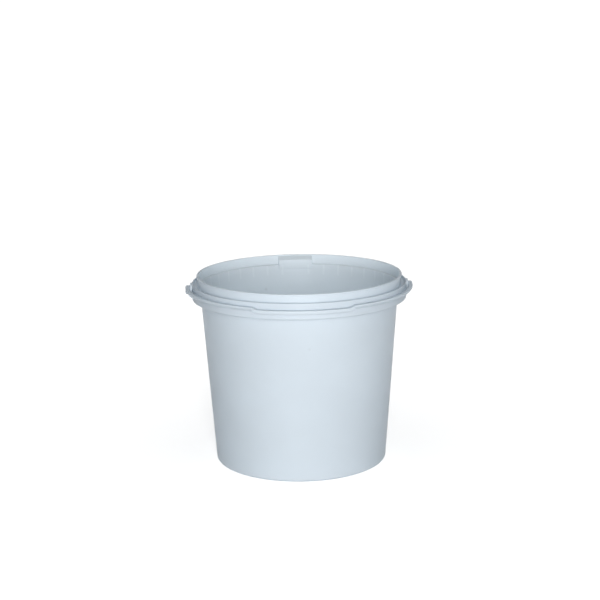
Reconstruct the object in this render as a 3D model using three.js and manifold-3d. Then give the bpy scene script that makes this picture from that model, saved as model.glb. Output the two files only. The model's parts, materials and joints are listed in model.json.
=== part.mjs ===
// A white moulded plastic pail of the five to six litre class, with a plastic bail that snaps in.
// Millimetres, +Z up. The origin is the centre of the underside of the base, on the pail's axis.
// The bail turns about X. It lies folded towards -Y, round the skirt, as it is when the pail is stacked.
import * as THREE from "three";
import { mergeVertices } from "three/addons/utils/BufferGeometryUtils.js";
import Module from "manifold-3d";

const wasm = await Module();
wasm.setup();

// Pail wall and base
const height = 200.5;
const baseRadius = 91;
const baseCorner = 3.2;
const wall = 1.3;
const baseThickness = 1.6;
const grooveInner = 60; // the base's stiffening groove, a ring pressed up into the floor
const grooveOuter = 78;
const grooveDepth = 1.2;

// Rim: a neck that the lid snaps over, a channel round it, and a skirt that hangs outside
const skirtRadius = 113;
const skirtWall = 1.4;
const skirtHeight = 16.5;
const skirtRound = 0.5;
const neckHeight = 10.5; // from the ledge inside the mouth to the rim's top
const neckWall = 1.5;
const neckStep = 2.5; // from the neck's outer face in to the wall's, at the web
const channelWidth = 4.4; // between the neck and the skirt
const channelDepth = 2.5; // from the skirt's top edge down to the channel's floor
const webThickness = 1.4;
const beadHeight = 1.8;
const beadProud = 0.9;

// Gusset ribs between the wall and the skirt, alike in the four quarters
const ribThickness = 1.1;
const ribFirstAngle = 8.25; // degrees from the far side's centre line
const ribPitchAngle = 9.55;
const ribsPerQuarter = 9;
const ribSetback = 1.2; // from the skirt's lower edge up to a rib's

// Raised pad inside the mouth, at the back
const padWidth = 36.5;
const padDepth = 4.8; // from the neck's inner wall in to the pad's face
const padBelowLedge = 5.2;
const padTopGap = 1.2; // from the rim's top down to where the pad's sloping top starts
const padSlope = 4;

// Hinges: a boss and a hole on each side of the skirt, and lugs that the folded bail lies on
const pivotBelowRim = 15.5;
const bossRadius = 7.4;
const bossProud = 2;
const pinRadius = 2.5;
const pinClearance = 0.3;
const headProud = 0.8; // how far the pin's snap head stands out past the pin
const headLength = 2.4;
const slotWidth = 1;
const seatGap = 0.3; // between two pieces that lie against each other
const lugWidth = 5;
const lugThickness = 1.5;
const lugSlope = 3.6; // from the foot of a lug's edge down to its root
const lugAngle = 9.6; // degrees round the skirt, from the hinge to a lug's middle

// Bail: an arm with a flange and a leaning face under it, a fuller grip in the middle, an eye at each end
const eyeRadius = 4.8;
const eyeThickness = 4.6;
const eyeChamfer = 1.4;
const armWidth = 4;
const armHeight = 3.8;
const armAbove = 3.2; // how far the folded arm's top is above the hinge line
const flangeThickness = 1.5;
const flangeProud = 1.8; // how far the arm's top flange stands out past its foot
const frontGap = 1.2; // between the folded bail and the skirt, at the front
const gripLength = 102;
const gripHeight = 3.8;
const gripDrop = 2; // from the arms' top down to the grip's
const gripWidth = 4.6;
const gripRound = 0.6;
const taperLength = 6; // of the sloping ends, where the arms step down to the grip
const gussetLength = 13; // over which an arm widens into its eye

// Facets
const roundFacets = 72;
const cornerFacets = 4;
const smallFacets = 24;
const armFacets = 60;

const pivotHeight = height - pivotBelowRim;
const ledgeHeight = height - neckHeight;
const webUnder = ledgeHeight - webThickness;
const skirtTop = ledgeHeight + channelDepth;
const skirtBottom = skirtTop - skirtHeight;
const skirtInner = skirtRadius - skirtWall;
const neckRadius = skirtInner - channelWidth;
const neckInner = neckRadius - neckWall;
const wallTopRadius = neckRadius - neckStep;
const draft = (wallTopRadius - baseRadius) / (webUnder - baseCorner); // growth of the radius with height
const bossFace = skirtRadius + bossProud;
const holeRadius = pinRadius + pinClearance;
const eyeInner = bossFace + seatGap;
const armMiddle = eyeInner + eyeThickness / 2; // the bail's half span, to the middle of its arms
const frontReach = skirtRadius + frontGap + armWidth / 2; // from the hinge line to the folded grip
const armTop = armAbove;
const armBottom = armTop - armHeight;
const gripTop = armTop - gripDrop;
const gripBottom = gripTop - gripHeight;
const foldedFoot = pivotHeight + armBottom; // the arm's lowest face when folded to the front
const turnedFoot = pivotHeight - armTop; // and when folded to the back

const radians = THREE.MathUtils.degToRad;

const outerRadius = (z) => baseRadius + draft * (z - baseCorner);
const innerRadius = (z) => outerRadius(z) - wall;

// A closed three.js geometry as a manifold solid.
function solid(geometry) {
  const plain = new THREE.BufferGeometry();
  const flat = geometry.index ? geometry.toNonIndexed() : geometry;
  plain.setAttribute("position", flat.getAttribute("position"));
  const merged = mergeVertices(plain, 1e-4);
  const mesh = new wasm.Mesh({
    numProp: 3,
    vertProperties: merged.attributes.position.array,
    triVerts: new Uint32Array(merged.index.array),
  });
  return new wasm.Manifold(mesh);
}

// A manifold solid as a named three.js mesh.
function meshOf(made, name, material) {
  const mesh = made.getMesh();
  const geometry = new THREE.BufferGeometry();
  geometry.setAttribute("position", new THREE.BufferAttribute(mesh.vertProperties, 3));
  geometry.setIndex(new THREE.BufferAttribute(mesh.triVerts, 1));
  const shown = geometry.toNonIndexed();
  shown.computeVertexNormals();
  const result = new THREE.Mesh(shown, material);
  result.name = name;
  return result;
}

// A profile of (radius, height) turned round the Z axis.
function turned(points, facets = roundFacets) {
  const geometry = new THREE.LatheGeometry(points, facets);
  return solid(geometry.rotateX(Math.PI / 2));
}

// An outline of (x, z), given its thickness along Y, centred on the XZ plane.
function plateAlongY(points, thickness) {
  const shape = new THREE.Shape(points);
  const geometry = new THREE.ExtrudeGeometry(shape, { depth: thickness, bevelEnabled: false });
  geometry.translate(0, 0, -thickness / 2);
  return solid(geometry.rotateX(Math.PI / 2));
}

// An outline of (y, z), given its thickness along X, centred on the YZ plane.
function plateAlongX(points, thickness) {
  const turnedPoints = points.map((p) => new THREE.Vector2(p.x, p.y));
  return plateAlongY(turnedPoints, thickness).rotate([0, 0, 90]);
}

// A round bar along X from x = start to x = end, at the height of the hinge line.
function barAlongX(start, end, startRadius, endRadius = startRadius) {
  const geometry = new THREE.CylinderGeometry(endRadius, startRadius, end - start, smallFacets);
  geometry.rotateZ(-Math.PI / 2);
  return solid(geometry).translate([(start + end) / 2, 0, 0]);
}

// A solid and its mirror image on the other side of the YZ plane.
const bothSides = (made) => made.add(made.mirror([1, 0, 0]));

const point = (x, y) => new THREE.Vector2(x, y);

// The pail's section, from the middle of the underside round the rim to the middle of the floor.
function bodyProfile() {
  const rise = grooveDepth; // the groove's walls stand at 45 degrees
  const floor = baseThickness;
  const innerCorner = baseCorner + wall;
  const wallFoot = floor + innerCorner;
  const path = new THREE.Path();
  path.moveTo(0, 0);
  path.lineTo(grooveInner, 0);
  path.lineTo(grooveInner + rise, grooveDepth);
  path.lineTo(grooveOuter - rise, grooveDepth);
  path.lineTo(grooveOuter, 0);
  path.absarc(baseRadius - baseCorner, baseCorner, baseCorner, -Math.PI / 2, 0);
  path.lineTo(outerRadius(webUnder), webUnder);
  path.lineTo(skirtInner, webUnder);
  path.lineTo(skirtInner, skirtBottom);
  path.lineTo(skirtRadius - skirtRound, skirtBottom);
  path.lineTo(skirtRadius, skirtBottom + skirtRound);
  path.lineTo(skirtRadius, skirtTop - skirtRound);
  path.lineTo(skirtRadius - skirtRound, skirtTop);
  path.lineTo(skirtInner, skirtTop);
  path.lineTo(skirtInner, ledgeHeight);
  path.lineTo(neckRadius, ledgeHeight);
  path.lineTo(neckRadius, height - beadHeight - beadProud);
  path.absarc(neckRadius, height - beadHeight / 2, beadHeight / 2, -Math.PI / 2, Math.PI / 2);
  path.lineTo(neckInner, height);
  path.lineTo(neckInner, ledgeHeight);
  path.lineTo(innerRadius(ledgeHeight), ledgeHeight);
  path.lineTo(innerRadius(wallFoot), wallFoot);
  path.absarc(innerRadius(wallFoot) - innerCorner, wallFoot, innerCorner, 0, -Math.PI / 2, true);
  path.lineTo(grooveOuter, floor);
  path.lineTo(grooveOuter - rise, floor + grooveDepth);
  path.lineTo(grooveInner + rise, floor + grooveDepth);
  path.lineTo(grooveInner, floor);
  path.lineTo(0, floor);
  return path.getPoints(cornerFacets);
}

// One gusset rib on the +Y side, its ends buried in the wall and in the skirt.
function rib() {
  const bottom = skirtBottom + ribSetback;
  const top = webUnder + webThickness / 2;
  const outer = skirtRadius - skirtWall / 2;
  const outline = [
    point(outerRadius(bottom) - wall / 2, bottom),
    point(outer, bottom),
    point(outer, top),
    point(outerRadius(top) - wall / 2, top),
  ];
  return plateAlongY(outline, ribThickness).rotate([0, 0, 90]);
}

function ribs() {
  const made = [];
  for (let i = 0; i < ribsPerQuarter; i++) {
    const angle = ribFirstAngle + i * ribPitchAngle;
    for (const turn of [angle, -angle, 180 - angle, 180 + angle]) {
      made.push(rib().rotate([0, 0, turn]));
    }
  }
  return wasm.Manifold.union(made);
}

// The raised pad inside the mouth, a sector of a ring that ends inside the wall's thickness.
function pad() {
  const bottom = ledgeHeight - padBelowLedge;
  const top = height - padTopGap;
  const face = neckInner - padDepth;
  const webMiddle = ledgeHeight - webThickness / 2;
  const neckMiddle = neckRadius - neckWall / 2;
  const middle = (z) => outerRadius(z) - wall / 2;
  const ring = turned([
    point(face, bottom),
    point(middle(bottom), bottom),
    point(middle(webMiddle), webMiddle),
    point(neckMiddle, webMiddle),
    point(neckMiddle, top),
    point(neckInner, top),
    point(face, top - padSlope),
    point(face, bottom),
  ]);
  const block = solid(new THREE.BoxGeometry(padWidth, skirtRadius, height));
  return ring.intersect(block.translate([0, skirtRadius / 2, height]));
}

// A bracket on the skirt, turned about the axis, with its top under a folded arm's lowest face.
function lug(foot, turn) {
  const top = foot - seatGap;
  const root = skirtRadius - skirtWall / 2;
  const edge = top - lugThickness;
  const outline = [
    point(root, edge - lugSlope),
    point(skirtRadius, edge - lugSlope),
    point(armMiddle, edge),
    point(armMiddle, top),
    point(root, top),
  ];
  return plateAlongY(outline, lugWidth).rotate([0, 0, turn]);
}

function lugs() {
  const front = lug(foldedFoot, -lugAngle);
  const back = lug(turnedFoot, lugAngle);
  return bothSides(front.add(back));
}

function pailBody() {
  const skirtMiddle = skirtRadius - skirtWall / 2;
  const boss = barAlongX(skirtMiddle, bossFace, bossRadius).translate([0, 0, pivotHeight]);
  const hole = barAlongX(skirtInner - wall, bossFace + wall, holeRadius).translate([0, 0, pivotHeight]);
  return turned(bodyProfile())
    .add(ribs())
    .add(pad())
    .add(lugs())
    .add(bothSides(boss))
    .subtract(bothSides(hole));
}

// A band that follows the bail round the front, from offset inner to offset outer of its middle line.
function band(inner, outer, bottom, top, halfAngle = 90, bevel = 0) {
  const start = radians(-90 - halfAngle);
  const end = radians(-90 + halfAngle);
  const shape = new THREE.Shape();
  const a = armMiddle;
  const b = frontReach;
  shape.absellipse(0, 0, a + outer - bevel, b + outer - bevel, start, end, false);
  shape.absellipse(0, 0, a + inner + bevel, b + inner + bevel, end, start, true);
  const geometry = new THREE.ExtrudeGeometry(shape, {
    depth: top - bottom - 2 * bevel,
    curveSegments: Math.max(4, Math.round((armFacets * halfAngle) / 90)),
    bevelEnabled: bevel > 0,
    bevelThickness: bevel,
    bevelSize: bevel,
    bevelSegments: 1,
  });
  return solid(geometry.translate(0, 0, bottom + bevel));
}

// A box that covers the grip's length, less the given overlap at each end.
function gripZone(overlap) {
  const box = new THREE.BoxGeometry(gripLength - 2 * overlap, 2 * skirtRadius, 4 * gripHeight);
  return solid(box).translate([0, -frontReach, 0]);
}

// A section of (offset from the bail's middle line, height) that follows the bail round the front.
function swept(section) {
  const points = section.map((p) => point(frontReach + p.x, p.y));
  const ring = turned(points, 2 * armFacets).scale([armMiddle / frontReach, 1, 1]);
  const front = solid(new THREE.BoxGeometry(4 * armMiddle, 2 * armMiddle, 4 * armMiddle));
  return ring.intersect(front.translate([0, -armMiddle, 0]));
}

// The arms have a flange along the top and a face under it that leans in towards its foot.
function arms() {
  const inner = -armWidth / 2;
  const outer = armWidth / 2;
  const section = [
    point(inner, armBottom),
    point(outer - flangeProud, armBottom),
    point(outer, armTop - flangeThickness),
    point(outer, armTop),
    point(inner, armTop),
    point(inner, armBottom),
  ];
  return swept(section).subtract(gripZone(taperLength / 3));
}

// The grip is a full bar that lies lower than the arms, with a sloping block at each end.
function grip() {
  const half = gripLength / 2;
  const inner = -armWidth / 2;
  const outer = inner + gripWidth;
  const halfAngle = THREE.MathUtils.radToDeg(half / frontReach) + 2;
  const bar = band(inner, outer, gripBottom, gripTop, halfAngle, gripRound);
  const tall = band(inner, outer, gripBottom, armTop, halfAngle);
  const outline = [
    point(half, armBottom),
    point(half, armTop),
    point(half - taperLength, gripTop),
    point(half - taperLength, gripBottom),
  ];
  const slope = plateAlongY(outline, gripLength).translate([0, -frontReach, 0]);
  return bar.intersect(gripZone(taperLength)).add(tall.intersect(bothSides(slope)));
}

// Each arm widens into its eye over the gusset's length, along the same curve.
function gussets() {
  const tall = band(-armWidth / 2, armWidth / 2 - flangeProud, -eyeRadius, eyeRadius);
  const outline = [
    point(0, eyeRadius),
    point(-gussetLength, armTop - flangeThickness / 2),
    point(-gussetLength, armBottom),
    point(0, -eyeRadius),
  ];
  const wedge = plateAlongX(outline, 3 * armMiddle);
  return tall.intersect(wedge);
}

// An eye with its pin and the split snap head that holds it behind the skirt.
function hinge() {
  const neck = skirtInner - seatGap;
  const tip = neck - headLength;
  const shoulder = eyeInner + eyeThickness - eyeChamfer;
  const cap = barAlongX(shoulder, shoulder + eyeChamfer, eyeRadius, eyeRadius - eyeChamfer);
  const eye = barAlongX(eyeInner, shoulder, eyeRadius).add(cap);
  const pin = barAlongX(tip, eyeInner + eyeThickness / 2, pinRadius);
  const head = barAlongX(tip, neck, pinRadius, pinRadius + headProud);
  const slotLength = bossFace - tip;
  const slotBox = new THREE.BoxGeometry(slotLength, slotWidth, 3 * eyeRadius);
  const slot = solid(slotBox).translate([tip + slotLength / 2 - seatGap, 0, 0]);
  return eye.add(pin.add(head).subtract(slot));
}

function bailHandle() {
  return arms().add(grip()).add(gussets()).add(bothSides(hinge()));
}

const whitePlastic = new THREE.MeshStandardMaterial({
  color: 0xdde6ec,
  roughness: 0.42,
  metalness: 0,
});

const pail = new THREE.Group();
pail.add(meshOf(pailBody(), "pail_body", whitePlastic));

const bail = new THREE.Group();
bail.position.z = pivotHeight;
bail.add(meshOf(bailHandle(), "bail_handle", whitePlastic.clone()));
pail.add(bail);

export default pail;
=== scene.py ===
# %% [markdown]
# # A white plastic pail
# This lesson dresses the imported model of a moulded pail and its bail, and sets up the studio
# round them. The model comes in first, because it fixes every size and place. All lengths are
# in metres here, and `MM` turns the millimetres of the mould maker into them.

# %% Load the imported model
import json
import math
from functools import partial

import bmesh
import bpy
from mathutils import Matrix, Vector


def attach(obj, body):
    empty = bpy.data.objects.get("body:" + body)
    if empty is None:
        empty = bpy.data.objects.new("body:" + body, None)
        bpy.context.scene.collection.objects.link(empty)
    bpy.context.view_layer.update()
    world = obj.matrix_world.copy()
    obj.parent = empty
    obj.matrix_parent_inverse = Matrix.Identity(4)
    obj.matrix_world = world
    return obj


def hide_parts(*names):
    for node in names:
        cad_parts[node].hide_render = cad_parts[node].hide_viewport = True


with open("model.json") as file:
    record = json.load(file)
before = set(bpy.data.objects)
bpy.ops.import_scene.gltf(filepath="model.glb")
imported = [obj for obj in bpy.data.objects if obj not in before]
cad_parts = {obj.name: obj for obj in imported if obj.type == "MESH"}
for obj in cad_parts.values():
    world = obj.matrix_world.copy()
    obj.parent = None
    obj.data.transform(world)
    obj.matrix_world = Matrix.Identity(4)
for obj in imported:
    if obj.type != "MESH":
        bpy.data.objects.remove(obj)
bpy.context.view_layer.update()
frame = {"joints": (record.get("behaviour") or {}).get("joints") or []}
MM = 0.001
hinge = frame["joints"][0]
PIVOT_Z = hinge["pos_m"][2] / MM

# %% [markdown]
# ## The camera
# The photograph looks slightly down on the pail from the front, from about a metre and a half.
# The lens is long, so the mouth is a flat ellipse. We build the camera's three axes by hand,
# because the picture leans by less than a degree and a Track To constraint would level it.

# %% Place the camera
PICTURE = 600
FOCAL_PIXELS = 1448.9
SHIFT_PIXELS = 0.66
SENSOR = 36
FARTHEST = 200
CAMERA_DISTANCE = 1498.2 * MM
CAMERA_HEIGHT = 502.7 * MM
CAMERA_YAW = math.radians(-2.2)
CAMERA_PITCH = math.radians(12.475)
CAMERA_LEAN = math.radians(0.775)


def make_camera():
    data = bpy.data.cameras.new("photo_camera")
    data.sensor_width = SENSOR
    data.lens = FOCAL_PIXELS / PICTURE * data.sensor_width
    data.shift_x = SHIFT_PIXELS / PICTURE
    data.clip_end = FARTHEST
    camera = bpy.data.objects.new("photo_camera", data)
    away = Vector((math.sin(CAMERA_YAW), -math.cos(CAMERA_YAW), 0))
    look = -away * math.cos(CAMERA_PITCH) - Vector((0, 0, math.sin(CAMERA_PITCH)))
    right = look.cross(Vector((0, 0, 1))).normalized()
    right = Matrix.Rotation(CAMERA_LEAN, 3, look) @ right
    up = right.cross(look)
    turn = Matrix((right, up, -look)).transposed()
    place = away * CAMERA_DISTANCE + Vector((0, 0, CAMERA_HEIGHT))
    camera.matrix_world = Matrix.Translation(place) @ turn.to_4x4()
    bpy.context.scene.collection.objects.link(camera)
    bpy.context.scene.camera = camera
    return camera


camera = make_camera()
print("camera at", tuple(round(v, 3) for v in camera.location), "lens", round(camera.data.lens, 1))

# %% [markdown]
# ## Helpers for node trees
# Much of a node tree is arithmetic. `add_math` adds one Math node and fills its inputs in turn,
# each with a plain number or with another node's socket, so that a sum reads like one.

# %% Define the node helpers
def set_or_link(tree, socket, value):
    """Links another node's socket to this one, or sets a plain value on it."""
    if hasattr(value, "links"):
        tree.links.new(value, socket)
    else:
        socket.default_value = value


def add_math(tree, operation, *values):
    node = tree.nodes.new("ShaderNodeMath")
    node.operation = operation
    for socket, value in zip(node.inputs, values):
        set_or_link(tree, socket, value)
    return node.outputs[0]


print("node helpers: set_or_link and add_math")

# %% [markdown]
# ## The studio
# The main light comes from the camera's side and hangs low: the rim's level top and the floor
# of its channel stay dark, while the upright faces are bright and fall off towards both edges.
# So two low disc lamps do most of the work, and a weak pale world fills the shadows. A small
# higher lamp draws thin shadows under the skirt and the bail. The last lamp is tiny and hangs
# just above the mouth, unseen. It is a device of this picture, and makes the inside glow as the
# photograph shows it.

# %% Light the world and hang the lamps
bpy.context.scene.view_settings.view_transform = "Standard"
WORLD_COLOUR = (0.9, 0.98, 1.0, 1)
WORLD_STRENGTH = 0.09
AIM = Vector((0, 0, 0.12))
GLOW_PLACE = (0, 0, 0.21)


def sees_background(tree):
    """A value of 1 for rays that only look at the background, and 0 for those that light things."""
    path = tree.nodes.new("ShaderNodeLightPath")
    seen = add_math(tree, "MAXIMUM", path.outputs["Is Camera Ray"], path.outputs["Is Glossy Ray"])
    return add_math(tree, "MAXIMUM", seen, path.outputs["Is Transmission Ray"])


def make_world():
    world = bpy.data.worlds.new("studio")
    world.use_nodes = True
    tree = world.node_tree
    tree.nodes.clear()
    light = tree.nodes.new("ShaderNodeBackground")
    light.inputs["Color"].default_value = WORLD_COLOUR
    light.inputs["Strength"].default_value = WORLD_STRENGTH
    white = tree.nodes.new("ShaderNodeBackground")
    white.inputs["Color"].default_value = (1, 1, 1, 1)
    mix = tree.nodes.new("ShaderNodeMixShader")
    out = tree.nodes.new("ShaderNodeOutputWorld")
    tree.links.new(sees_background(tree), mix.inputs["Fac"])
    tree.links.new(light.outputs[0], mix.inputs[1])
    tree.links.new(white.outputs[0], mix.inputs[2])
    tree.links.new(mix.outputs[0], out.inputs["Surface"])
    bpy.context.scene.world = world


def hang_lamp(name, place, size, watts):
    data = bpy.data.lights.new(name, "AREA")
    data.shape = "DISK"
    data.size = size
    data.energy = watts
    lamp = bpy.data.objects.new(name, data)
    lamp.location = place
    lamp.visible_camera = False
    lamp.rotation_euler = (AIM - Vector(place)).to_track_quat("-Z", "Y").to_euler()
    bpy.context.scene.collection.objects.link(lamp)
    return lamp


def hide_lamp_inside(watts):
    """A small lamp just above the mouth, unseen by the camera, that makes the inside glow."""
    data = bpy.data.lights.new("inside_lamp", "POINT")
    data.shadow_soft_size = 0.03
    data.energy = watts
    data.specular_factor = 0
    lamp = bpy.data.objects.new("inside_lamp", data)
    lamp.location = GLOW_PLACE
    lamp.visible_camera = False
    bpy.context.scene.collection.objects.link(lamp)
    return lamp


make_world()
lamps = [
    hang_lamp("front_lamp", (0, -2.77, 0.51), 1.0, 40),
    hang_lamp("low_front_lamp", (0, -2.8, 0.35), 0.6, 13),
    hang_lamp("small_high_lamp", (0, -2.6, 1.17), 0.35, 14),
    hide_lamp_inside(0.019),
]
print("lamps:", [lamp.name for lamp in lamps])

# %% [markdown]
# ## The floor
# The pail stands on a white sweep that reaches the horizon. Its material is a plain diffuse
# white. The camera sees it brighter than it lights the pail, and brighter still from afar, so
# that it reads as paper white.

# %% Lay the floor
FLOOR_RADIUS = 60
PAPER = (0.5, 0.505, 0.51, 1)
PAPER_SEEN = (0.86, 0.86, 0.86, 1)
NEAR, NEAR_GLOW = 0.12, 0.72
FAR, FAR_GLOW = 0.5, 1.0


def make_floor():
    mesh = bpy.data.meshes.new("floor")
    form = bmesh.new()
    bmesh.ops.create_circle(form, cap_ends=True, segments=64, radius=FLOOR_RADIUS)
    form.to_mesh(mesh)
    form.free()
    material = bpy.data.materials.new("paper_white")
    material.use_nodes = True
    tree = material.node_tree
    tree.nodes.clear()
    paper = tree.nodes.new("ShaderNodeBsdfDiffuse")
    paper.inputs["Color"].default_value = PAPER
    seen = tree.nodes.new("ShaderNodeBsdfDiffuse")
    seen.inputs["Color"].default_value = PAPER_SEEN
    place = tree.nodes.new("ShaderNodeTexCoord")
    far = tree.nodes.new("ShaderNodeVectorMath")
    far.operation = "LENGTH"
    tree.links.new(place.outputs["Object"], far.inputs[0])
    fade = tree.nodes.new("ShaderNodeMapRange")
    numbers = {"From Min": NEAR, "From Max": FAR, "To Min": NEAR_GLOW, "To Max": FAR_GLOW}
    for label, number in numbers.items():
        fade.inputs[label].default_value = number
    tree.links.new(far.outputs["Value"], fade.inputs["Value"])
    glow = tree.nodes.new("ShaderNodeEmission")
    tree.links.new(fade.outputs[0], glow.inputs["Strength"])
    bright = tree.nodes.new("ShaderNodeAddShader")
    mix = tree.nodes.new("ShaderNodeMixShader")
    out = tree.nodes.new("ShaderNodeOutputMaterial")
    tree.links.new(seen.outputs[0], bright.inputs[0])
    tree.links.new(glow.outputs[0], bright.inputs[1])
    tree.links.new(sees_background(tree), mix.inputs["Fac"])
    tree.links.new(paper.outputs[0], mix.inputs[1])
    tree.links.new(bright.outputs[0], mix.inputs[2])
    tree.links.new(mix.outputs[0], out.inputs["Surface"])
    mesh.materials.append(material)
    floor = bpy.data.objects.new("floor", mesh)
    bpy.context.scene.collection.objects.link(floor)
    return floor


floor = make_floor()
print("floor radius", FLOOR_RADIUS, "m")

# %% [markdown]
# ## Outlines with rounded corners
# Every edge of a moulding is rounded a little, and those roundings catch the light. A helper
# takes the corners of an outline as (x, y, radius) and puts an arc of short lines at each.
# It also adds a point just beside each arc. Smooth shading blends normals from point to point,
# so these extra points keep the blend inside the rounding and leave the long faces even.

# %% Round the corners of an outline
ARC_STEPS = 4
SUPPORT = 0.35
SUPPORT_SHARE = 0.3


def corner_reach(before, corner, after, radius):
    """How far from the corner its arc starts."""
    half = (before - corner).angle(after - corner) / 2
    return radius / math.tan(half)


def round_corner(before, corner, after, radius, supports):
    """Points along the arc that rounds one corner, with a supporting point on each side."""
    back = (before - corner).normalized()
    ahead = (after - corner).normalized()
    reach = corner_reach(before, corner, after, radius)
    start, end = corner + back * reach, corner + ahead * reach
    arc = [start.lerp(end, i / ARC_STEPS) for i in range(ARC_STEPS + 1)]
    bisector = back + ahead
    if bisector.length > 0.01:
        middle = corner + bisector.normalized() * math.hypot(reach, radius)
        arc = [middle + (p - middle).normalized() * radius for p in arc]
    return [start + back * supports[0]] + arc + [end + ahead * supports[1]]


def rounded(corners):
    """The outline's points. A corner without a radius stays sharp."""
    places = [Vector(c[:2]) for c in corners]
    radii = [c[2] for c in corners]
    count = len(corners)
    around = [(places[i - 1], places[i], places[(i + 1) % count]) for i in range(count)]
    reaches = [corner_reach(*around[i], radii[i]) if radii[i] else 0 for i in range(count)]
    spare = []
    for i in range(count):
        j = (i + 1) % count
        free = (places[j] - places[i]).length - reaches[i] - reaches[j]
        spare.append(min(SUPPORT, free * SUPPORT_SHARE))
    result = []
    for i in range(count):
        if radii[i]:
            result.extend(round_corner(*around[i], radii[i], (spare[i - 1], spare[i])))
        else:
            result.append(places[i])
    return result


print("points on one rounded corner:", len(rounded([(0, 0, 0), (5, 0, 1), (5, 5, 0)])) - 2)

# %% [markdown]
# ## Turning on a lathe, with Geometry Nodes
# The pail is a body of revolution, so its wall follows a rule: one outline, turned about the
# axis. A node tree does the turning. It makes a grid with one row for each point of the outline
# and one column for each facet, and then moves every grid point to its turned place. Merging
# closes the seam and the poles. The same tree also turns the small bosses, eyes and pins.

# %% Build the lathe tree
TINY = 1e-7


def build_lathe_tree():
    tree = bpy.data.node_groups.new("lathe", "GeometryNodeTree")
    face = tree.interface
    face.new_socket("Outline", in_out="INPUT", socket_type="NodeSocketGeometry")
    face.new_socket("Facets", in_out="INPUT", socket_type="NodeSocketInt")
    face.new_socket("Material", in_out="INPUT", socket_type="NodeSocketMaterial")
    face.new_socket("Turned", in_out="OUTPUT", socket_type="NodeSocketGeometry")
    nodes, link = tree.nodes, tree.links.new
    math_node = partial(add_math, tree)

    given = nodes.new("NodeGroupInput")
    size = nodes.new("GeometryNodeAttributeDomainSize")
    link(given.outputs["Outline"], size.inputs["Geometry"])
    columns = math_node("ADD", given.outputs["Facets"], 1)
    grid = nodes.new("GeometryNodeMeshGrid")
    link(size.outputs["Point Count"], grid.inputs["Vertices X"])
    link(columns, grid.inputs["Vertices Y"])
    index = nodes.new("GeometryNodeInputIndex").outputs[0]
    row = math_node("FLOOR", math_node("DIVIDE", math_node("ADD", index, 0.5), columns))
    column = math_node("SUBTRACT", index, math_node("MULTIPLY", row, columns))
    angle = math_node("DIVIDE", math_node("MULTIPLY", column, math.tau), given.outputs["Facets"])
    place = nodes.new("GeometryNodeInputPosition")
    sample = nodes.new("GeometryNodeSampleIndex")
    sample.data_type = "FLOAT_VECTOR"
    link(given.outputs["Outline"], sample.inputs["Geometry"])
    link(place.outputs[0], sample.inputs["Value"])
    link(row, sample.inputs["Index"])
    apart = nodes.new("ShaderNodeSeparateXYZ")
    link(sample.outputs["Value"], apart.inputs[0])
    turned = nodes.new("ShaderNodeCombineXYZ")
    link(math_node("MULTIPLY", apart.outputs["X"], math_node("COSINE", angle)), turned.inputs["X"])
    link(math_node("MULTIPLY", apart.outputs["X"], math_node("SINE", angle)), turned.inputs["Y"])
    link(apart.outputs["Z"], turned.inputs["Z"])
    move = nodes.new("GeometryNodeSetPosition")
    link(grid.outputs["Mesh"], move.inputs["Geometry"])
    link(turned.outputs[0], move.inputs["Position"])
    merge = nodes.new("GeometryNodeMergeByDistance")
    merge.inputs["Distance"].default_value = TINY
    link(move.outputs[0], merge.inputs["Geometry"])
    real = nodes.new("GeometryNodeRealizeInstances")
    link(merge.outputs[0], real.inputs["Geometry"])
    finish = nodes.new("GeometryNodeSetMaterial")
    link(real.outputs[0], finish.inputs["Geometry"])
    link(given.outputs["Material"], finish.inputs["Material"])
    out = nodes.new("NodeGroupOutput")
    link(finish.outputs[0], out.inputs["Turned"])
    return tree


lathe_tree = build_lathe_tree()
print("lathe tree has", len(lathe_tree.nodes), "nodes")

# %% [markdown]
# ## Small helpers for meshes
# A modifier's result becomes a plain mesh through the evaluated object, so nothing live is left
# on a finished piece. Normals are then turned outwards, and edges sharper than a set angle are
# marked, so that smooth shading stops there.

# %% Define the mesh helpers
SHARP_ANGLE = math.radians(32)


def new_object(name, mesh):
    made = bpy.data.objects.new(name, mesh)
    bpy.context.scene.collection.objects.link(made)
    return made


def set_input(modifier, label, value):
    """Sets a node modifier's input by the identifier of the socket that carries this label."""
    for item in modifier.node_group.interface.items_tree:
        if item.item_type == "SOCKET" and item.in_out == "INPUT" and item.name == label:
            modifier[item.identifier] = value
            return
    raise ValueError(label)


def bake_modifiers(made):
    """Replaces the object's mesh by what its modifiers make of it."""
    graph = bpy.context.evaluated_depsgraph_get()
    mesh = bpy.data.meshes.new_from_object(made.evaluated_get(graph))
    made.modifiers.clear()
    old = made.data
    made.data = mesh
    mesh.name = made.name
    bpy.data.meshes.remove(old)
    return made


def face_outwards(made):
    form = bmesh.new()
    form.from_mesh(made.data)
    bmesh.ops.remove_doubles(form, verts=form.verts, dist=TINY)
    bmesh.ops.recalc_face_normals(form, faces=form.faces)
    form.to_mesh(made.data)
    form.free()
    return made


def shade(made):
    made.data.shade_smooth()
    made.data.set_sharp_from_angle(angle=SHARP_ANGLE)
    return made


def turned(name, outline, facets, material=None):
    """A solid turned about Z from an outline of (radius, height) in millimetres."""
    mesh = bpy.data.meshes.new(name)
    points = [(p.x * MM, 0, p.y * MM) for p in outline]
    mesh.from_pydata(points, [(i, i + 1) for i in range(len(points) - 1)], [])
    made = new_object(name, mesh)
    modifier = made.modifiers.new("lathe", "NODES")
    modifier.node_group = lathe_tree
    set_input(modifier, "Facets", facets)
    set_input(modifier, "Material", material)
    return face_outwards(bake_modifiers(made))


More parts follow.
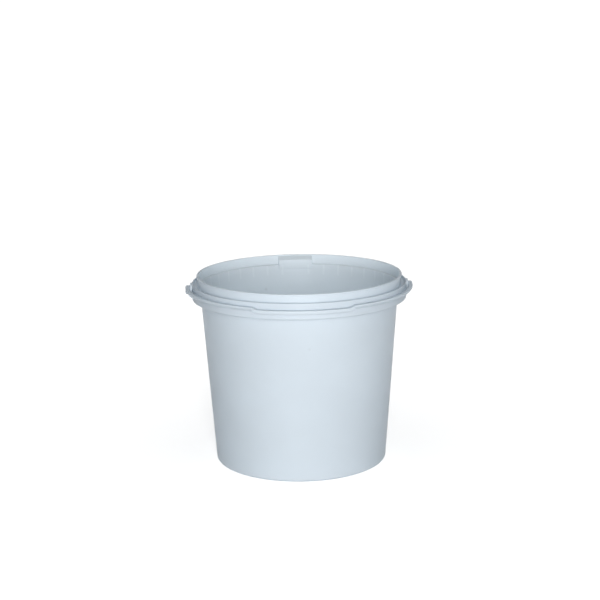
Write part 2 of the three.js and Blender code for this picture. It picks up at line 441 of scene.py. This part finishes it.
def skin(name, rings, material=None):
    """A solid through rings of equally many points in millimetres, closed at both ends."""
    count = len(rings[0])
    points = [Vector(p) * MM for ring in rings for p in ring]
    faces = []
    for i in range(len(rings) - 1):
        for j in range(count):
            k = (j + 1) % count
            faces.append((i * count + j, i * count + k, (i + 1) * count + k, (i + 1) * count + j))
    faces.append(tuple(range(count)))
    faces.append(tuple(range((len(rings) - 1) * count, len(rings) * count)))
    mesh = bpy.data.meshes.new(name)
    mesh.from_pydata(points, [], faces)
    made = new_object(name, mesh)
    if material:
        mesh.materials.append(material)
    return face_outwards(made)


def fuse(target, others, operation="UNION"):
    """Joins solids to the target, or cuts them from it, and removes them."""
    for other in others:
        modifier = target.modifiers.new(other.name, "BOOLEAN")
        modifier.operation = operation
        modifier.solver = "MANIFOLD"
        modifier.object = other
    bake_modifiers(target)
    for other in others:
        bpy.data.objects.remove(other)
    return target


print("helpers ready; edges above", round(math.degrees(SHARP_ANGLE)), "degrees stay sharp")

# %% [markdown]
# ## The plastic
# The pail and the bail are white polypropylene with a cool cast. The wall is thin, so it lets
# some light through, and a Translucent shader mixed into the Principled one gives this. Slow
# noise varies the colour and the gloss a little, and fine noise gives the faint orange peel of
# a moulded surface.

# %% Make the plastic's material
PLASTIC = (0.8, 0.862, 0.914, 1)
CLOUD = 0.975
LET_THROUGH = 0.3
ROUGH_FROM, ROUGH_TO = 0.30, 0.42
PEEL_STRENGTH, PEEL_DEPTH = 0.12, 0.02
IOR = 1.49
SHINE = 0.35


def add_noise(tree, place, scale, detail):
    node = tree.nodes.new("ShaderNodeTexNoise")
    node.inputs["Scale"].default_value = scale
    node.inputs["Detail"].default_value = detail
    tree.links.new(place, node.inputs["Vector"])
    return node.outputs["Fac"]


def add_range(tree, value, low, high, to_low, to_high):
    node = tree.nodes.new("ShaderNodeMapRange")
    node.interpolation_type = "SMOOTHSTEP"
    tree.links.new(value, node.inputs["Value"])
    numbers = {"From Min": low, "From Max": high, "To Min": to_low, "To Max": to_high}
    for label, number in numbers.items():
        node.inputs[label].default_value = number
    return node.outputs["Result"]


def mix_colour(tree, amount, first, second):
    node = tree.nodes.new("ShaderNodeMix")
    node.data_type = "RGBA"
    sockets = {s.identifier: s for s in node.inputs}
    tree.links.new(amount, sockets["Factor_Float"])
    set_or_link(tree, sockets["A_Color"], first)
    set_or_link(tree, sockets["B_Color"], second)
    return [s for s in node.outputs if s.identifier == "Result_Color"][0]


def make_plastic(name, detail=None):
    material = bpy.data.materials.new(name)
    material.use_nodes = True
    tree = material.node_tree
    tree.nodes.clear()
    place = tree.nodes.new("ShaderNodeTexCoord").outputs["Object"]
    cloud = add_noise(tree, place, 14, 3)
    pale = tuple(c * CLOUD for c in PLASTIC[:3]) + (1,)
    colour = mix_colour(tree, add_range(tree, cloud, 0.35, 0.65, 0, 1), PLASTIC, pale)
    if detail:
        colour = detail(tree, place, colour)
    rubbed = add_range(tree, add_noise(tree, place, 60, 4), 0.3, 0.7, ROUGH_FROM, ROUGH_TO)
    bump = tree.nodes.new("ShaderNodeBump")
    bump.inputs["Strength"].default_value = PEEL_STRENGTH
    bump.inputs["Distance"].default_value = PEEL_DEPTH * MM
    tree.links.new(add_noise(tree, place, 900, 2), bump.inputs["Height"])
    shell = tree.nodes.new("ShaderNodeBsdfPrincipled")
    shell.inputs["IOR"].default_value = IOR
    shell.inputs["Specular IOR Level"].default_value = SHINE
    tree.links.new(colour, shell.inputs["Base Color"])
    tree.links.new(rubbed, shell.inputs["Roughness"])
    tree.links.new(bump.outputs[0], shell.inputs["Normal"])
    through = tree.nodes.new("ShaderNodeBsdfTranslucent")
    tree.links.new(colour, through.inputs["Color"])
    mix = tree.nodes.new("ShaderNodeMixShader")
    mix.inputs["Fac"].default_value = LET_THROUGH
    out = tree.nodes.new("ShaderNodeOutputMaterial")
    tree.links.new(shell.outputs[0], mix.inputs[1])
    tree.links.new(through.outputs[0], mix.inputs[2])
    tree.links.new(mix.outputs[0], out.inputs["Surface"])
    return material


bail_plastic = make_plastic("bail_plastic")
print("material:", bail_plastic.name)

# %% [markdown]
# ## Painted rib light and specks
# Where a rib stands behind a thin wall, light comes through it, and this is painted on the inside
# as a pale upright line. The ribs follow a rule, so the painted lines can follow the same one: the
# angle about the axis, folded by the pitch of the ribs. Three specks of dirt are placed by their
# distance from a point, which noise bends so that they are not perfect discs. The whole inside is
# also painted paler. That stands in for light that passes through the wall, and isn't a second
# plastic.

# %% Make the pail's material
FOOT, FOOT_RADIUS = 3.2, 91.0
WEB, WEB_RADIUS = 188.6, 104.7
DRAFT = (WEB_RADIUS - FOOT_RADIUS) / (WEB - FOOT)
RIB_FIRST = 8.25
RIB_PITCH = 9.55
RIBS_A_QUARTER = 9
# Painted light: the pale upright line in front of each rib, where light comes through it.
PAINTED_RIB_LIGHT = (0.91, 0.96, 0.988, 1)
INSIDE = (0.872, 0.922, 0.952, 1)
INSIDE_AMOUNT = 0.9
NECK_STEP = 1.9
DIRT = (0.3, 0.3, 0.28, 1)
SPECK_BEND = 1.6
SPECKS = [
    ((5.5, -101.2, 143.0), 2.2, 0.08),
    ((-26.8, 95.4, 171.6), 2.0, 0.14),
    ((-33.2, 94.3, 163.3), 3.2, 0.18),
]


def wall_radius(z):
    """The radius of the wall's outside at a height, in millimetres."""
    return FOOT_RADIUS + DRAFT * (z - FOOT)


def colour_inside(tree, place, colour):
    """Paints light on the inside: paler than the outside, and paler still in front of each rib."""
    apart = tree.nodes.new("ShaderNodeSeparateXYZ")
    tree.links.new(place, apart.inputs[0])
    x, y, z = (apart.outputs[axis] for axis in "XYZ")
    sideways, ahead = (add_math(tree, "ABSOLUTE", value) for value in (x, y))
    angle = add_math(tree, "ARCTAN2", sideways, ahead)
    step = add_math(tree, "SUBTRACT", angle, math.radians(RIB_FIRST))
    step = add_math(tree, "DIVIDE", step, math.radians(RIB_PITCH))
    line = add_range(tree, add_math(tree, "PINGPONG", step, 0.5), 0.02, 0.11, 1, 0)
    squares = [add_math(tree, "MULTIPLY", value, value) for value in (x, y)]
    radius = add_math(tree, "SQRT", add_math(tree, "ADD", *squares))
    lean = add_math(tree, "MULTIPLY", z, DRAFT)
    base = wall_radius(0)
    neck = add_range(tree, z, 189.4 * MM, 189.6 * MM, 0, NECK_STEP * MM)
    depth = add_math(tree, "SUBTRACT", add_math(tree, "SUBTRACT", radius, lean), neck)
    inside = add_range(tree, depth, (base - 0.7) * MM, (base - 0.6) * MM, 1, 0)
    inside = add_math(tree, "MULTIPLY", inside, add_range(tree, z, 0.8 * MM, 1.0 * MM, 0, 1))
    high = add_range(tree, z, 177.4 * MM, 179.4 * MM, 0, 1)
    low = add_range(tree, z, 189.6 * MM, 189.8 * MM, 1, 0)
    amount = add_math(tree, "MULTIPLY", add_math(tree, "MULTIPLY", high, low), inside)
    colour = mix_colour(tree, add_math(tree, "MULTIPLY", inside, INSIDE_AMOUNT), colour, INSIDE)
    # Painted light: a pale line inside, in front of each rib.
    return mix_colour(tree, add_math(tree, "MULTIPLY", amount, line), colour, PAINTED_RIB_LIGHT)


def add_specks(tree, place, colour):
    """Lays small spots of dirt on the colour."""
    bend = add_math(tree, "MULTIPLY", add_noise(tree, place, 700, 1), SPECK_BEND * MM)
    for spot, radius, strength in SPECKS:
        far = tree.nodes.new("ShaderNodeVectorMath")
        far.operation = "DISTANCE"
        tree.links.new(place, far.inputs[0])
        far.inputs[1].default_value = [v * MM for v in spot]
        reach = add_math(tree, "ADD", far.outputs["Value"], bend)
        amount = add_range(tree, reach, 0.5 * radius * MM, (radius + 0.8) * MM, strength, 0)
        colour = mix_colour(tree, amount, colour, DIRT)
    return colour


def pail_detail(tree, place, colour):
    return add_specks(tree, place, colour_inside(tree, place, colour))


pail_plastic = make_plastic("pail_plastic", pail_detail)
print("material:", pail_plastic.name, "with", len(SPECKS), "specks")

# %% [markdown]
# ## The pail's wall, base and rim
# One outline holds the whole section: the groove in the base, the tapered wall, the skirt that
# hangs outside, the channel, the neck with its bead, and then the inside down to the floor.
# Its corners carry their own radii, from a few tenths on the rim to several millimetres at the
# foot. 240 facets are enough for the rim to look round from nearby.

# %% Turn the pail
HEIGHT = 200.5
WALL = 1.3
FLOOR = 1.6
SKIRT = 113.0
SKIRT_IN = 111.6
SKIRT_TOP = 192.5
SKIRT_FOOT = 176.0
LEDGE = 190.0
NECK = 107.2
NECK_IN = 105.7
BEAD = 0.9
GROOVE_DEEP = 1.2


def groove(z):
    """Corners of the ring groove in the base, from its inner to its outer edge."""
    top = z + GROOVE_DEEP
    return [(60, z, 0.8), (61.2, top, 0.8), (76.8, top, 0.8), (78, z, 0.8)]


PAIL_OUTLINE = rounded([
    (0, 0, 0),
    *groove(0),
    (wall_radius(0), 0, 3.2),
    (wall_radius(WEB), WEB, 0.5),
    (SKIRT_IN, WEB, 0.5),
    (SKIRT_IN, SKIRT_FOOT, 0.4),
    (SKIRT, SKIRT_FOOT, 0.8),
    (SKIRT, SKIRT_TOP, 0.55),
    (SKIRT_IN, SKIRT_TOP, 0.5),
    (SKIRT_IN, LEDGE, 0.5),
    (NECK, LEDGE, 0.5),
    (NECK, HEIGHT - 2 * BEAD, 0.3),
    (NECK + BEAD, HEIGHT - 2 * BEAD, 0.45),
    (NECK + BEAD, HEIGHT, 0.6),
    (NECK_IN, HEIGHT, 0.35),
    (NECK_IN, LEDGE, 0.5),
    (wall_radius(LEDGE) - WALL, LEDGE, 1.4),
    (wall_radius(FLOOR) - WALL, FLOOR, 4.5),
    *reversed(groove(FLOOR)),
    (0, FLOOR, 0),
])
pail = turned("pail", PAIL_OUTLINE, 240, pail_plastic)
print("pail wall:", len(pail.data.vertices), "points")

# %% [markdown]
# ## Gusset ribs, with Geometry Nodes
# Thin ribs stand between the wall and the skirt and hold the rim round. They repeat, four
# mirrored quarters of nine, so one node tree places instances of a single plate by a rule for
# the angle. Inputs name the sizes. The tree realizes the instances, because an export drops
# them otherwise. `BITE` is how far a detail reaches into the wall that it is fused with.

# %% Build the ribs
RIB_THICKNESS = 1.1
RIB_INTO_WALL = 1.15
RIB_FOOT = SKIRT_FOOT + 1.2
BITE = 0.7


def build_rib_tree():
    tree = bpy.data.node_groups.new("gusset_ribs", "GeometryNodeTree")
    face = tree.interface
    face.new_socket("Geometry", in_out="INPUT", socket_type="NodeSocketGeometry")
    for label in ("First Angle", "Pitch Angle", "Thickness"):
        face.new_socket(label, in_out="INPUT", socket_type="NodeSocketFloat")
    for label in ("Inner Foot", "Outer Top"):
        face.new_socket(label, in_out="INPUT", socket_type="NodeSocketVector")
    face.new_socket("Ribs in a Quarter", in_out="INPUT", socket_type="NodeSocketInt")
    face.new_socket("Material", in_out="INPUT", socket_type="NodeSocketMaterial")
    face.new_socket("Ribs", in_out="OUTPUT", socket_type="NodeSocketGeometry")
    nodes, link = tree.nodes, tree.links.new
    math_node = partial(add_math, tree)

    def vector_node(operation, first, second):
        node = nodes.new("ShaderNodeVectorMath")
        node.operation = operation
        link(first, node.inputs[0])
        set_or_link(tree, node.inputs["Scale" if operation == "SCALE" else 1], second)
        return node.outputs[0]

    given = nodes.new("NodeGroupInput")
    low, high = given.outputs["Inner Foot"], given.outputs["Outer Top"]
    span = nodes.new("ShaderNodeSeparateXYZ")
    link(vector_node("SUBTRACT", high, low), span.inputs[0])
    size = nodes.new("ShaderNodeCombineXYZ")
    link(given.outputs["Thickness"], size.inputs["X"])
    link(span.outputs["Y"], size.inputs["Y"])
    link(span.outputs["Z"], size.inputs["Z"])
    plate = nodes.new("GeometryNodeMeshCube")
    link(size.outputs[0], plate.inputs["Size"])
    place = nodes.new("GeometryNodeTransform")
    link(plate.outputs["Mesh"], place.inputs["Geometry"])
    middle = vector_node("SCALE", vector_node("ADD", high, low), 0.5)
    link(middle, place.inputs["Translation"])
    points = nodes.new("GeometryNodePoints")
    link(math_node("MULTIPLY", given.outputs["Ribs in a Quarter"], 4), points.inputs["Count"])
    index = nodes.new("GeometryNodeInputIndex").outputs[0]
    step = math_node("FLOOR", math_node("DIVIDE", math_node("ADD", index, 0.5), 4))
    quarter = math_node("SUBTRACT", index, math_node("MULTIPLY", step, 4))
    half = math_node("FLOOR", math_node("DIVIDE", math_node("ADD", quarter, 0.5), 2))
    odd = math_node("SUBTRACT", quarter, math_node("MULTIPLY", half, 2))
    sign = math_node("SUBTRACT", 1, math_node("MULTIPLY", odd, 2))
    turn = math_node("MULTIPLY", step, given.outputs["Pitch Angle"])
    turn = math_node("MULTIPLY", math_node("ADD", turn, given.outputs["First Angle"]), sign)
    turn = math_node("ADD", turn, math_node("MULTIPLY", half, math.pi))
    rotation = nodes.new("ShaderNodeCombineXYZ")
    link(turn, rotation.inputs["Z"])
    copy = nodes.new("GeometryNodeInstanceOnPoints")
    link(points.outputs[0], copy.inputs["Points"])
    link(place.outputs[0], copy.inputs["Instance"])
    link(rotation.outputs[0], copy.inputs["Rotation"])
    real = nodes.new("GeometryNodeRealizeInstances")
    link(copy.outputs[0], real.inputs["Geometry"])
    finish = nodes.new("GeometryNodeSetMaterial")
    link(real.outputs[0], finish.inputs["Geometry"])
    link(given.outputs["Material"], finish.inputs["Material"])
    out = nodes.new("NodeGroupOutput")
    link(finish.outputs[0], out.inputs["Ribs"])
    return tree


def make_ribs():
    ribs = new_object("gusset_ribs", bpy.data.meshes.new("gusset_ribs"))
    modifier = ribs.modifiers.new("ribs", "NODES")
    modifier.node_group = build_rib_tree()
    set_input(modifier, "First Angle", math.radians(RIB_FIRST))
    set_input(modifier, "Pitch Angle", math.radians(RIB_PITCH))
    set_input(modifier, "Thickness", RIB_THICKNESS * MM)
    set_input(modifier, "Inner Foot", (0, (wall_radius(WEB) - RIB_INTO_WALL) * MM, RIB_FOOT * MM))
    set_input(modifier, "Outer Top", (0, (SKIRT_IN + BITE) * MM, (WEB + BITE) * MM))
    set_input(modifier, "Ribs in a Quarter", RIBS_A_QUARTER)
    set_input(modifier, "Material", pail_plastic)
    return bake_modifiers(ribs)


ribs = make_ribs()
print("ribs:", len(ribs.data.polygons) // 6)

# %% [markdown]
# ## Pad, bosses and lugs
# Inside the mouth, at the back, the mould leaves a raised pad. Outside, each hinge has a round
# boss, and on both sides of it a small lug that the folded bail lies on. They are made as
# simple rounded solids that reach into the wall, and are then fused with it, because on the
# real pail all of this is a single moulding.

# %% Make the details of the moulding
PAD_HALF_ANGLE = math.degrees(math.asin(18.25 / 100.9))
PAD_FACE = 100.9
PAD_FOOT = 184.8
PAD_TOP = 199.3
PAD_SLOPE = 4
PAD_STEPS = 12
BOSS_RADIUS = 7.4
BOSS_FACE = 115.0
HOLE_RADIUS = 2.8
LUG_REACH = 117.6
LUG_HALF_WIDTH = 2.5
LUG_ANGLE = 9.6
FRONT_LUG_TOP = PIVOT_Z - 0.9
BACK_LUG_TOP = PIVOT_Z - 3.5


def make_pad():
    """A sector of a ring, from the wall's thickness in to the pad's face."""
    section = rounded([
        (PAD_FACE, PAD_FOOT, 0.5),
        (wall_radius(PAD_FOOT) - 0.6, PAD_FOOT, 0),
        (NECK_IN + 0.6, PAD_TOP - PAD_SLOPE, 0),
        (NECK_IN + 0.6, PAD_TOP, 0),
        (NECK_IN - 0.3, PAD_TOP, 0.3),
        (PAD_FACE, PAD_TOP - PAD_SLOPE, 0.7),
    ])
    rings = []
    for i in range(PAD_STEPS + 1):
        angle = math.radians(90 - PAD_HALF_ANGLE + PAD_HALF_ANGLE * 2 * i / PAD_STEPS)
        rings.append([(p.x * math.cos(angle), p.x * math.sin(angle), p.y) for p in section])
    return skin("pad", rings, pail_plastic)


def along_x(name, outline, facets, side, material):
    """A turned solid laid along X on one side of the pail, at the height of the hinge line."""
    made = turned(name, outline, facets, material)
    lay = Matrix.Rotation(math.radians(90 * side), 4, "Y")
    made.data.transform(Matrix.Translation((0, 0, PIVOT_Z * MM)) @ lay)
    return made


def make_boss(side):
    outline = rounded([
        (0, SKIRT - BITE, 0),
        (BOSS_RADIUS, SKIRT - BITE, 0),
        (BOSS_RADIUS, BOSS_FACE, 0.5),
        (0, BOSS_FACE, 0),
    ])
    return along_x("boss", outline, 64, side, pail_plastic)


def make_hole(side):
    start, end = SKIRT_IN - 1.3, BOSS_FACE + 1
    corners = (0, start), (HOLE_RADIUS, start), (HOLE_RADIUS, end), (0, end)
    outline = [Vector(corner) for corner in corners]
    return along_x("hole", outline, 48, side, pail_plastic)


def make_lug(turn, top):
    """A bracket with a sloping underside, turned about the pail's axis to its place."""
    root = SKIRT - BITE
    outline = rounded([
        (root, top - 5.1, 0),
        (SKIRT, top - 5.1, 0),
        (LUG_REACH, top - 1.5, 0.4),
        (LUG_REACH, top, 0.4),
        (root, top, 0),
    ])
    rings = [[(p.x, y, p.y) for p in outline] for y in (-LUG_HALF_WIDTH, LUG_HALF_WIDTH)]
    lug = skin("lug", rings, pail_plastic)
    lug.data.transform(Matrix.Rotation(math.radians(turn), 4, "Z"))
    return lug


details = [ribs, make_pad(), make_boss(1), make_boss(-1)]
details += [make_lug(turn, FRONT_LUG_TOP) for turn in (-LUG_ANGLE, 180 + LUG_ANGLE)]
details += [make_lug(turn, BACK_LUG_TOP) for turn in (LUG_ANGLE, 180 - LUG_ANGLE)]
fuse(pail, details)
fuse(pail, [make_hole(1), make_hole(-1)], "DIFFERENCE")
shade(pail)
print("pail after fusing:", len(pail.data.polygons), "faces")

# %% [markdown]
# ## The bail
# The bail is a half ellipse that just clears the skirt. Its arms have a flange on top and under
# it a face that leans in towards its foot. The grip in the middle is a full bar and hangs lower.
# We move one outline along the curve and let its corners change place, so the arm runs into
# the grip without a joint. At each end a turned eye carries the pin that snaps into the skirt.

# %% Sweep the bail
HALF_SPAN = 117.6
REACH = 116.2
ARM_TOP = 3.2
ARM_FOOT = -0.6
GRIP_TOP = 1.2
GRIP_FOOT = -2.6
GRIP_HALF = 51.0
TAPER = 6.0
GUSSET = 13.0
INNER = -2.0
FLANGE = 1.5
FLANGE_PROUD = 1.8
EYE_RADIUS = 4.8
EYE_BACK, EYE_FACE = 115.3, 119.9
PIN_RADIUS = 2.5
PIN_TIP, PIN_BARB, PIN_ROOT = 108.9, 111.3, 117


def ease(value):
    value = min(1, max(0, value))
    return value * value * (3 - 2 * value)


def bail_section(x):
    """Corners of the bail's section where it is x millimetres from the middle."""
    full = ease((GRIP_HALF + 1.5 - abs(x)) / 3)
    low = ease((GRIP_HALF - abs(x)) / TAPER)
    top = ARM_TOP + (GRIP_TOP - ARM_TOP) * low
    foot = ARM_FOOT + (GRIP_FOOT - ARM_FOOT) * low
    outer = 2.0 + 0.6 * full
    lean = FLANGE_PROUD * (1 - full)
    return rounded([
        (INNER, top, 0.4),
        (outer, top, 0.4 + 0.1 * full),
        (outer, top - FLANGE, 0.3 - 0.25 * full),
        (outer - lean, foot, 0.5 + 0.2 * full),
        (INNER, foot, 0.3 + 0.2 * full),
    ])


def on_bail(angle, offset, z):
    """A point beside the bail's middle line, in the model's frame."""
    x, y = HALF_SPAN * math.cos(angle), REACH * math.sin(angle)
    out = Vector((math.cos(angle) / HALF_SPAN, math.sin(angle) / REACH)).normalized()
    return (x + out.x * offset, y + out.y * offset, PIVOT_Z + z)


def bail_angles():
    """Angles along the front half, closer together where the section changes."""
    edge = math.degrees(math.acos((GRIP_HALF + 3) / HALF_SPAN))
    inner = math.degrees(math.acos((GRIP_HALF - TAPER - 1) / HALF_SPAN))
    coarse = [i * edge / 30 for i in range(30)]
    fine = [edge + i * (inner - edge) / 20 for i in range(20)]
    middle = [inner + i * (90 - inner) / 14 for i in range(14)]
    quarter = coarse + fine + middle
    degrees = [180 + a for a in quarter] + [270] + [360 - a for a in reversed(quarter)]
    return [math.radians(a) for a in degrees]


def make_arms():
    rings = []
    for angle in bail_angles():
        section = bail_section(HALF_SPAN * math.cos(angle))
        rings.append([on_bail(angle, p.x, p.y) for p in section])
    return skin("bail", rings, bail_plastic)


def make_gusset(side):
    """The web of an arm, widening up to the height of its eye."""
    rings = []
    for i in range(11):
        y = GUSSET * (1 - i / 10)
        high = EYE_RADIUS - 0.15 - (EYE_RADIUS - ARM_TOP + 0.6) * y / GUSSET
        low = -EYE_RADIUS + 0.15 + (EYE_RADIUS + ARM_FOOT) * y / GUSSET
        angle = math.radians(270) + side * math.acos(y / REACH)
        outline = [(INNER, low), (0.2, low), (0.2, high), (INNER, high)]
        rings.append([on_bail(angle, *corner) for corner in outline])
    return skin("gusset", rings, bail_plastic)


def make_eye(side):
    outline = rounded([
        (0, EYE_BACK, 0),
        (EYE_RADIUS, EYE_BACK, 0.4),
        (EYE_RADIUS, EYE_FACE, 1.7),
        (0, EYE_FACE, 0),
    ])
    return along_x("eye", outline, 64, side, bail_plastic)


def make_pin(side):
    outline = rounded([
        (0, PIN_TIP, 0),
        (PIN_RADIUS, PIN_TIP, 0.3),
        (3.3, PIN_BARB, 0.2),
        (PIN_RADIUS, PIN_BARB, 0.1),
        (PIN_RADIUS, PIN_ROOT, 0),
        (0, PIN_ROOT, 0),
    ])
    return along_x("pin", outline, 48, side, bail_plastic)


def make_slot(side):
    low, high = sorted((side * 108.5, side * 114.6))
    outline = [(low, -0.5), (high, -0.5), (high, 0.5), (low, 0.5)]
    rings = [[(x, y, z) for x, y in outline] for z in (PIVOT_Z - 8, PIVOT_Z + 8)]
    return skin("slot", rings, bail_plastic)


def split_pin(side):
    return fuse(make_pin(side), [make_slot(side)], "DIFFERENCE")


bail = make_arms()
ends = [make(side) for side in (1, -1) for make in (make_gusset, make_eye, split_pin)]
fuse(bail, ends)
shade(bail)
print("bail:", len(bail.data.polygons), "faces")

# %% [markdown]
# ## Handing the pieces over
# Each dressed piece rides on a body of the model, stands in for its plain solid, and takes its
# finish from a named material slot. The two boxes are kept, so that the sizes can be compared.

# %% Attach the pieces and hide their plain solids
for piece, body, node in ((pail, "pail", "pail_body"), (bail, "bail", "bail_handle")):
    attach(piece, body)
    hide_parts(node)
print("pieces:", pail.name, "and", bail.name)
